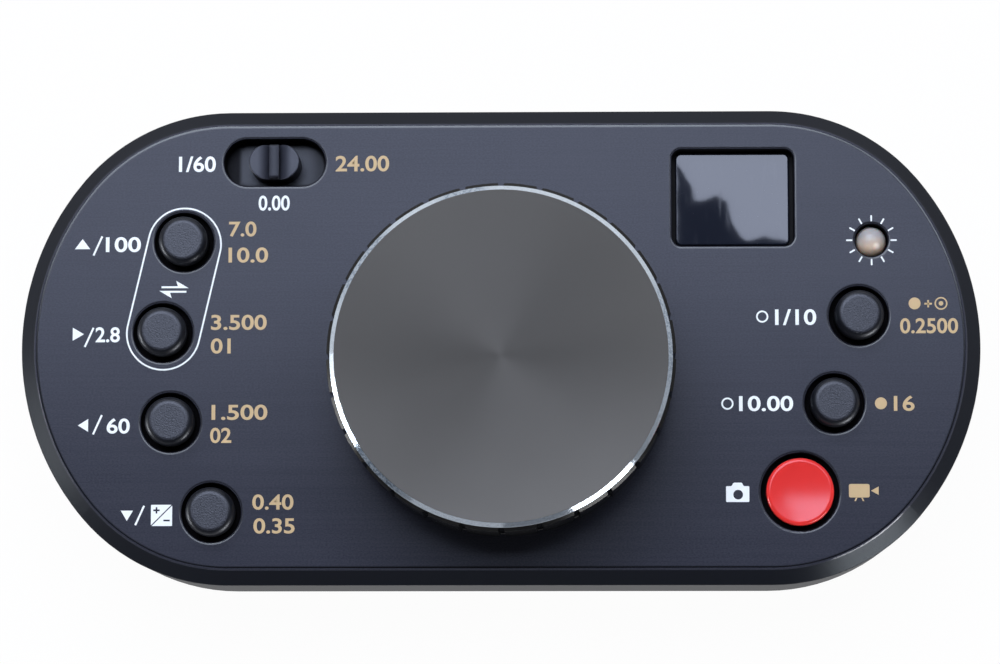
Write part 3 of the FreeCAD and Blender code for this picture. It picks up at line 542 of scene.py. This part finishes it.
def boardGreen():
    look = {"colour": (0.012, 0.075, 0.03), "roughness": 0.3, "bare": (0.010, 0.060, 0.026),
            "track": (0.016, 0.105, 0.042), "trackSize": 1.2 * mm, "trackStretch": (0.3, 1, 1),
            "trackLimit": 0.52, "relief": 0.02 * mm}
    finish = Finish("board_green", look["colour"], look["roughness"], IOR=1.5)
    tracks = finish.grain(look["trackSize"], stretch=look["trackStretch"], detail=0.0)
    tracks = tracks.above(look["trackLimit"])
    finish.put("Base Color", finish.blend(tracks, look["bare"], look["track"]))
    finish.bump(tracks, look["relief"])
    return finish


def batteryFoil():
    look = {"colour": (0.55, 0.56, 0.58), "metallic": 0.9, "roughness": 0.25, "crease": 3 * mm,
            "creaseStretch": (1, 0.4, 1), "creaseRoughness": 0.2, "relief": 0.05 * mm}
    finish = Finish("battery_foil", look["colour"], look["roughness"], look["metallic"])
    creases = finish.grain(look["crease"], stretch=look["creaseStretch"], detail=3.0)
    finish.put("Roughness", look["roughness"] + creases * look["creaseRoughness"])
    finish.bump(creases, look["relief"])
    return finish


def clearDisc():
    look = {"colour": (0.55, 0.6, 0.62), "roughness": 0.1, "lines": 90, "clear": (0.6, 0.65, 0.67),
            "line": (0.03, 0.03, 0.03)}
    finish = Finish("disc_clear", look["colour"], look["roughness"], IOR=1.49)
    angle = finish.angleAbout(wheelMiddle.x, wheelMiddle.y)
    lines = (angle * look["lines"]).sine().above(0.0)
    finish.put("Base Color", finish.blend(lines, look["clear"], look["line"]))
    return finish


# colour and roughness of each inner metal and plastic
metals = {"black_steel": ((0.05, 0.05, 0.055), 0.4),
          "bright_steel": ((0.55, 0.56, 0.58), 0.3),
          "bush_steel": ((0.62, 0.60, 0.56), 0.28),
          "encoder_metal": ((0.5, 0.51, 0.52), 0.32),
          "socket_metal": ((0.6, 0.6, 0.61), 0.25)}
plastics = {"plunger_black": ((0.02, 0.02, 0.022), 0.45),
            "switch_black": ((0.018, 0.018, 0.02), 0.5),
            "module_black": ((0.015, 0.015, 0.017), 0.45),
            "chip_black": ((0.02, 0.02, 0.022), 0.55),
            "lead_red": ((0.5, 0.02, 0.02), 0.4),
            "connector_white": ((0.75, 0.73, 0.66), 0.4)}
finishes = [anodisedHousing(), anodisedBase(), wheelMetal(), gripBlack(), keyRubber(), recordRed(),
            sliderBlack(), bandBlack(), windowSmoke(), foamBlack(), lampMilky(), footRubber(), boardGreen(),
            batteryFoil(), clearDisc()]
finishes += [turnedMetal(name, *values) for name, values in metals.items()]
finishes += [mouldedPlastic(name, *values) for name, values in plastics.items()]
finishOf = {finish.material.name: finish.material for finish in finishes}
for part in frame["record"]["subparts"]:
    slots = nodes[part["node"]].data.materials
    slots.clear()
    slots.append(finishOf[part["material_slot"]])
print("finishes assigned:", len(finishes))


# ---- small tools for modelling

def deselect():
    bpy.ops.object.select_all(action="DESELECT")


def choose(*pieces):
    # selects these pieces and no others, the first one active
    deselect()
    for piece in pieces:
        piece.select_set(True)
    bpy.context.view_layer.objects.active = pieces[0]


def fixPlace():
    # puts the active object's place, turn and scale into its mesh
    bpy.ops.object.transform_apply(location=True, rotation=True, scale=True)
    return bpy.context.object


def startEdit():
    # edit mode, with the whole mesh selected
    bpy.ops.object.mode_set(mode="EDIT")
    bpy.ops.mesh.select_all(action="SELECT")


def endEdit():
    bpy.ops.object.mode_set(mode="OBJECT")


def join(pieces, name):
    choose(*pieces)
    bpy.ops.object.join()
    joined = bpy.context.object
    joined.name = name
    joined.data.name = name
    return joined


def give(piece, material, body):
    piece.data.materials.clear()
    piece.data.materials.append(material)
    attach(piece, body)


# ---- markings on the face: thin printed ink, as closed flat solids
# each mark takes the place of its centre and its sizes in millimetres, and its turn in radians

ink = {"under": 0.01 * mm, "over": 0.02 * mm, "bold": 0.018, "letterSteps": 6, "discSides": 40,
       "ringSides": 96, "cornerSteps": 5, "bendSteps": 4, "weld": 0.001 * mm}


def thicken(piece):
    # gives a flat shape its ink thickness, standing on the face
    choose(piece)
    startEdit()
    bpy.ops.mesh.remove_doubles(threshold=ink["weld"])
    bpy.ops.mesh.extrude_region_move(TRANSFORM_OT_translate={"value": (0, 0, ink["under"] + ink["over"])})
    bpy.ops.mesh.select_all(action="SELECT")
    bpy.ops.mesh.normals_make_consistent(inside=False)
    bpy.ops.transform.translate(value=(0, 0, faceTop - ink["under"]))
    endEdit()
    bpy.ops.object.shade_flat()
    return piece


def printAt(piece, x, y, turn=0.0):
    # turns a flat shape, moves it to its place and makes it ink
    piece.rotation_euler = (0, 0, turn)
    piece.location = (x * mm, y * mm, 0)
    return thicken(fixPlace())


def word(text, x, y, width, height):
    # the built-in letters, made the width and height of the printed word
    deselect()
    bpy.ops.object.text_add(location=(0, 0, 0))
    letters = bpy.context.object
    letters.data.body = text
    letters.data.size = 1.0
    letters.data.offset = ink["bold"]
    letters.data.resolution_u = ink["letterSteps"]
    bpy.ops.object.convert(target="MESH")
    flat = bpy.context.object
    across = [corner[0] for corner in flat.bound_box]
    along = [corner[1] for corner in flat.bound_box]
    flat.location = (-(max(across) + min(across)) / 2, -(max(along) + min(along)) / 2, 0)
    fixPlace()
    flat.scale = (width * mm / (max(across) - min(across)), height * mm / (max(along) - min(along)), 1)
    return printAt(fixPlace(), x, y)


def bar(x, y, width, height, turn=0.0, corner=0.0):
    deselect()
    bpy.ops.mesh.primitive_plane_add(size=1)
    bpy.context.object.scale = (width * mm, height * mm, 1)
    piece = fixPlace()
    if corner:
        startEdit()
        bpy.ops.mesh.bevel(offset=corner * mm, segments=ink["cornerSteps"], affect="VERTICES")
        endEdit()
    return printAt(piece, x, y, turn)


def disc(x, y, radius):
    deselect()
    bpy.ops.mesh.primitive_circle_add(vertices=ink["discSides"], radius=radius * mm, fill_type="NGON")
    return printAt(bpy.context.object, x, y)


def ring(x, y, radius, line, stretch=0.0, turn=0.0):
    # a drawn circle, or a long loop where its halves are pulled apart
    deselect()
    bpy.ops.mesh.primitive_circle_add(vertices=ink["ringSides"], radius=radius * mm, fill_type="NGON")
    piece = bpy.context.object
    if stretch:
        startEdit()
        bpy.ops.mesh.select_all(action="DESELECT")
        endEdit()
        for vertex in piece.data.vertices:
            vertex.select = vertex.co.y > ink["weld"]
        bpy.ops.object.mode_set(mode="EDIT")
        bpy.ops.transform.translate(value=(0, stretch / 2 * mm, 0))
        bpy.ops.mesh.select_all(action="INVERT")
        bpy.ops.transform.translate(value=(0, -stretch / 2 * mm, 0))
        endEdit()
    startEdit()
    bpy.ops.mesh.inset(thickness=line * mm)
    bpy.ops.mesh.delete(type="FACE")
    endEdit()
    return printAt(piece, x, y, turn)


def flatShape(x, y, outline, turn=0.0, corner=0.0):
    # any flat mark, from its corners in order, which are counted from its place
    deselect()
    bpy.ops.mesh.primitive_circle_add(vertices=len(outline), radius=1 * mm, fill_type="NGON")
    piece = bpy.context.object
    for vertex, (across, up) in zip(piece.data.vertices, outline):
        vertex.co = (across * mm, up * mm, 0)
    if corner:
        startEdit()
        bpy.ops.mesh.bevel(offset=corner * mm, segments=ink["bendSteps"], affect="VERTICES")
        endEdit()
    return printAt(piece, x, y, turn)


def triangle(x, y, width, height, turn):
    # points up at turn 0; width and height are those of the unturned shape
    outline = [(-width / 2, -height / 2), (width / 2, -height / 2), (0, height / 2)]
    return flatShape(x, y, outline, turn)


def cutOut(piece, cutters):
    # takes the cutters' shapes, made three times as thick, out of a flat mark
    for cutter in cutters:
        choose(cutter)
        startEdit()
        bpy.ops.transform.resize(value=(1, 1, 3), center_override=(0, 0, faceTop))
        endEdit()
        choose(piece)
        cut = piece.modifiers.new("cut", "BOOLEAN")
        cut.operation = "DIFFERENCE"
        cut.object = cutter
        bpy.ops.object.modifier_apply(modifier=cut.name)
        bpy.data.objects.remove(cutter)
    return piece


def slash(x, y):
    look = {"line": 0.30, "length": 3.3, "turn": -0.42}
    return bar(x, y, look["line"], look["length"], look["turn"])


def lampRays():
    look = {"count": 12, "inner": 2.95, "outer": 3.95, "line": 0.26, "corner": 0.48}
    centre = middle("status_lamp") / mm
    reach = (look["inner"] + look["outer"]) / 2
    rays = []
    for step in range(look["count"]):
        turn = 2 * math.pi * step / look["count"]
        rays.append(bar(centre.x + reach * math.cos(turn), centre.y + reach * math.sin(turn),
                        look["outer"] - look["inner"], look["line"], turn, look["line"] * look["corner"]))
    return rays


def stillCamera(x, y, width, height):
    # body and finder in one outline, with a round lens cut out; all but the corner are shares of its size
    look = {"shoulder": 0.32, "finderFoot": 0.52, "finderTop": 0.36, "lensAcross": 0.02, "lensDown": 0.12,
            "lensRadius": 0.25, "corner": 0.16}
    half, top, shoulder = width / 2, height / 2, look["shoulder"] * height
    foot, finder = look["finderFoot"] * half, look["finderTop"] * half
    outline = [(-half, -top), (half, -top), (half, shoulder), (foot, shoulder), (finder, top),
               (-finder, top), (-foot, shoulder), (-half, shoulder)]
    body = flatShape(x, y, outline, corner=look["corner"])
    lens = disc(x + look["lensAcross"] * width, y - look["lensDown"] * height, look["lensRadius"] * height)
    return [cutOut(body, [lens])]


def movieCamera(x, y, width):
    # body, horn and two splayed feet, each apart from the others
    look = {"body": 3.2, "bodyHigh": 2.1, "bodyUp": 0.12, "corner": 0.28, "horn": 1.2, "hornHigh": 1.3,
            "foot": 0.24, "footHigh": 0.52, "footGap": 0.03, "footIn": 0.30, "footOut": 0.52}
    middleX, middleY = x - width / 2 + look["body"] / 2, y + look["bodyUp"]
    body = bar(middleX, middleY, look["body"], look["bodyHigh"], corner=look["corner"])
    horn = triangle(x + width / 2 - look["horn"] / 2, middleY, look["hornHigh"], look["horn"], math.pi / 2)
    under = middleY - look["bodyHigh"] / 2 - look["footGap"]
    outline = [(look["footIn"], 0), (look["footIn"] + look["foot"], 0),
               (look["footOut"] + look["foot"], -look["footHigh"]), (look["footOut"], -look["footHigh"])]
    feet = [flatShape(middleX, under, [(side * across, up) for across, up in outline]) for side in (-1, 1)]
    return [body, horn, *feet]


def plusMinusBox(x, y, size):
    # a filled box split corner to corner, with a plus and a minus cut out
    look = {"corner": 0.08, "split": 0.17, "splitLong": 1.5, "line": 0.26, "arm": 0.30, "away": 0.24}
    arm, away = look["arm"] * size, look["away"] * size
    box = bar(x, y, size, size, corner=look["corner"])
    return [cutOut(box, [bar(x, y, look["splitLong"] * size, look["split"], math.pi / 4),
                         bar(x - away, y + away, arm, look["line"]),
                         bar(x - away, y + away, look["line"], arm),
                         bar(x + away, y - away, arm, look["line"])])]


def swapArrows(x, y, length, gap):
    # two half arrows, the upper one pointing right and the lower one left, with heads on their outer sides
    look = {"line": 0.30, "tip": 0.35, "headLong": 1.6, "headHigh": 1.0, "headBack": 1.35}
    half, end = look["line"] / 2, length / 2
    outline = [(-end, -half), (end + look["tip"], -half), (end - look["headLong"], look["headHigh"]),
               (end - look["headBack"], half), (-end, half)]
    return [flatShape(x, y, [(side * across, side * (gap / 2 + up)) for across, up in outline])
            for side in (1, -1)]


def keyLoop():
    # the loop drawn round the first two keys of the left row
    look = {"radius": 5.84, "line": 0.26, "upper": (-49.3, 15.98), "lower": (-52.5, 2.0)}
    (upperX, upperY), (lowerX, lowerY) = look["upper"], look["lower"]
    across, along = upperX - lowerX, upperY - lowerY
    return [ring((upperX + lowerX) / 2, (upperY + lowerY) / 2, look["radius"], look["line"],
                 math.hypot(across, along), -math.atan2(across, along))]


whiteMarks = [
    word("1/60", -47.4, 28.7, 5.8, 2.5),
    word("0.00", -35.3, 22.5, 4.9, 2.4),
    triangle(-65.3, 16.1, 2.4, 1.6, 0),
    slash(-62.9, 15.8),
    word("100", -58.9, 16.0, 5.5, 2.4),
    triangle(-65.8, 1.9, 2.05, 1.75, -math.pi / 2),
    slash(-64.1, 1.4),
    word("2.8", -61.2, 1.8, 3.8, 2.4),
    triangle(-64.9, -12.4, 2.0, 1.6, math.pi / 2),
    slash(-62.65, -12.3),
    word("60", -59.4, -12.5, 3.6, 2.4),
    triangle(-57.9, -26.5, 1.9, 1.6, math.pi),
    slash(-55.9, -26.45),
    ring(40.9, 4.4, 0.95, 0.26),
    word("1/10", 46.1, 4.3, 6.4, 2.5),
    ring(35.4, -9.2, 0.95, 0.26),
    word("10.00", 41.4, -9.2, 8.4, 2.4),
    *plusMinusBox(-52.5, -26.45, 3.3),
    *swapArrows(-50.9, 8.9, 3.9, 0.72),
    *keyLoop(),
    *stillCamera(36.9, -23.0, 3.6, 3.0),
    *lampRays(),
]
goldMarks = [
    word("24.00", -21.5, 28.7, 8.4, 2.5),
    word("7.0", -40.2, 18.4, 4.3, 2.4),
    word("10.0", -39.3, 14.3, 6.2, 2.4),
    word("3.500", -40.7, 3.7, 8.7, 2.4),
    word("01", -43.5, 0.0, 3.1, 2.4),
    word("1.500", -40.5, -10.4, 8.7, 2.4),
    word("02", -43.4, -14.0, 3.3, 2.4),
    word("0.40", -35.2, -24.4, 6.4, 2.4),
    word("0.35", -35.0, -28.1, 6.4, 2.4),
    disc(64.6, 6.4, 0.93),
    bar(66.7, 6.35, 1.15, 0.28),
    bar(66.7, 6.35, 0.28, 1.15),
    ring(68.7, 6.4, 1.0, 0.22),
    disc(68.7, 6.4, 0.36),
    word("0.2500", 66.8, 2.9, 9.0, 2.4),
    disc(59.2, -9.2, 0.93),
    word("16", 62.8, -9.2, 3.2, 2.4),
    *movieCamera(56.4, -22.9, 4.6),
]


def printedInk(name, colour):
    look = {"colour": colour, "roughness": 0.5, "patches": 0.04, "patchSize": 0.6 * mm,
            "grain": 0.1 * mm, "detail": 2.0, "relief": 0.004 * mm}
    return grained(name, look).material


whiteInk = printedInk("white_ink", (0.88, 0.92, 0.88))
goldInk = printedInk("gold_ink", (0.58, 0.415, 0.20))
give(join(whiteMarks, "white_markings"), whiteInk, "body")
give(join(goldMarks, "gold_markings"), goldInk, "body")
print("markings printed")


# ---- studio

def softBox(name, centre, aim, width, height, radiance, tint=(1, 1, 1)):
    # a rectangular lamp that faces the point aim
    lamp = bpy.data.lights.new(name, "AREA")
    lamp.shape = "RECTANGLE"
    lamp.size = width
    lamp.size_y = height
    lamp.energy = radiance * math.pi * width * height
    lamp.color = tint
    holder = bpy.data.objects.new(name, lamp)
    bpy.context.scene.collection.objects.link(holder)
    holder.location = centre
    holder.rotation_euler = (Vector(centre) - Vector(aim)).to_track_quat("Z", "Y").to_euler()
    holder.visible_camera = False


overheadTop = faceTop + 1.0  # the overhead light hangs a metre above the face


def overheadBoxes():
    # one large light behind the top, in three depths, and a wing on each side
    # a box has its left, right, near and far edges, in metres, and its radiance
    look = {"tint": (0.78, 0.83, 1.0),
            "boxes": {"near": (-0.32, 0.25, 0.102, 0.212, 8.0),
                      "middle": (-0.40, 0.18, 0.212, 0.50, 6.5),
                      "far": (-0.80, 0.30, 0.50, 1.30, 6.5),
                      "right": (0.32, 0.85, 0.25, 0.75, 5.0),
                      "left": (-0.85, -0.42, 0.25, 0.50, 5.0)}}
    for name, (left, right, near, far, radiance) in look["boxes"].items():
        x, y = (left + right) / 2, (near + far) / 2
        softBox("overhead_" + name, (x, y, overheadTop), (x, y, 0), right - left, far - near, radiance,
                look["tint"])


def standShade():
    # a stand that darkens part of the overhead light's near edge; its outline is in millimetres
    look = {"outline": ((51, 96), (51, 137), (54, 133), (57.5, 126), (58.5, 119), (61, 119), (68, 122),
                        (72, 119), (75, 110), (78, 105), (81, 103), (88, 104.5), (98, 102), (98, 96)),
            "under": 2 * mm, "colour": (0.7, 0.8, 1.0), "glow": 0.12}
    deselect()
    bpy.ops.mesh.primitive_circle_add(vertices=len(look["outline"]), radius=0.01, fill_type="NGON")
    shade = bpy.context.object
    shade.name = "stand_shade"
    for vertex, (x, y) in zip(shade.data.vertices, look["outline"]):
        vertex.co = (x * mm, y * mm, overheadTop - look["under"])
    shade.visible_camera = False
    shade.visible_shadow = False
    paint = bpy.data.materials.new("stand_paint")
    tree = Tree(paint)
    tree.show(tree.node("ShaderNodeEmission", None, {"Color": look["colour"], "Strength": look["glow"]}))
    shade.data.materials.append(paint)


def sideBoxes():
    # upright soft boxes: each has its side in degrees, its distance, width and lower and upper edges in
    # metres, and its radiance
    look = {"left_box_low": (187.5, 0.75, 0.377, 0.0, 0.045, 2.6),
            "left_box_high": (194, 0.75, 0.32, 0.045, 0.125, 31.0),
            "right_box_low": (310, 0.75, 0.363, 0.0, 0.035, 48.0),
            "right_box_high": (310, 0.75, 0.363, 0.035, 0.13, 2.6),
            "right_box_top": (310, 0.75, 0.363, 0.13, 0.21, 11.0),
            "front_box": (252, 1.1, 0.7, 0.09, 0.17, 0.6),
            "back_box": (90, 1.3, 2.2, 0.0, 0.25, 1.2)}
    for name, (turn, reach, width, low, high, radiance) in look.items():
        angle, level = math.radians(turn), (low + high) / 2
        place = (reach * math.cos(angle), reach * math.sin(angle), level)
        softBox(name, place, (0, 0, level), width, high - low, radiance)


def studioFloor():
    # lit as a pale grey, but white to the camera, in mirrors and through glass
    look = {"reach": 3.0, "sides": 64, "grey": (0.8, 0.8, 0.8), "white": (1, 1, 1), "share": 0.97}
    deselect()
    bpy.ops.mesh.primitive_circle_add(vertices=look["sides"], radius=look["reach"], fill_type="NGON")
    floor = bpy.context.object
    floor.name = "floor"
    paint = bpy.data.materials.new("floor_paint")
    tree = Tree(paint)
    lit = tree.node("ShaderNodeBsdfDiffuse", None, {"Color": look["grey"]})
    glow = tree.node("ShaderNodeEmission", None, {"Color": look["white"], "Strength": 1.0})
    seen, mirrored, through = (tree.node("ShaderNodeLightPath", output=f"Is {ray} Ray")
                               for ray in ("Camera", "Glossy", "Transmission"))
    share = seen.most(mirrored).most(through) * look["share"]
    tree.show(tree.node("ShaderNodeMixShader", None, (share, lit, glow)))
    floor.data.materials.append(paint)


def studioWorld():
    # pale at the horizon, dark overhead and dimmer in front
    look = {"sky": [(0.0, (0.40, 0.42, 0.46)), (0.14, (0.30, 0.31, 0.34)), (0.32, (0.07, 0.074, 0.085)),
                    (0.9, (0.03, 0.031, 0.037))],
            "turnsDim": (-0.6, 0.2), "frontShare": 0.5}
    world = bpy.data.worlds.new("studio_world")
    bpy.context.scene.world = world
    tree = Tree(world)
    direction = tree.node("ShaderNodeTexCoord", output="Generated")
    height = tree.node("ShaderNodeSeparateXYZ", None, (direction,), output="Z")
    back = tree.node("ShaderNodeSeparateXYZ", None, (direction,), output="Y")
    sky = tree.node("ShaderNodeValToRGB", {"stops": look["sky"]}, (height,))
    background = tree.nodes["Background"].inputs
    tree.feed(background["Color"], sky)
    tree.feed(background["Strength"], back.ramp(*look["turnsDim"], look["frontShare"], 1.0))


def studioCamera():
    look = {"place": (0.0133032, -0.0661856, 0.6232), "turn": (0.1133, 0.0219, -0.0025), "lens": 139.54,
            "sensor": 36, "clip": (0.01, 20)}
    camera = bpy.data.cameras.new("camera")
    camera.lens = look["lens"]
    camera.sensor_width = look["sensor"]
    camera.clip_start, camera.clip_end = look["clip"]
    holder = bpy.data.objects.new("camera", camera)
    bpy.context.scene.collection.objects.link(holder)
    holder.location = look["place"]
    holder.rotation_mode = "ZYX"
    holder.rotation_euler = Euler(look["turn"], "ZYX")
    bpy.context.scene.camera = holder


overheadBoxes()
standShade()
sideBoxes()
studioFloor()
studioWorld()
studioCamera()
bpy.context.scene.view_settings.view_transform = "Standard"
print("studio set")
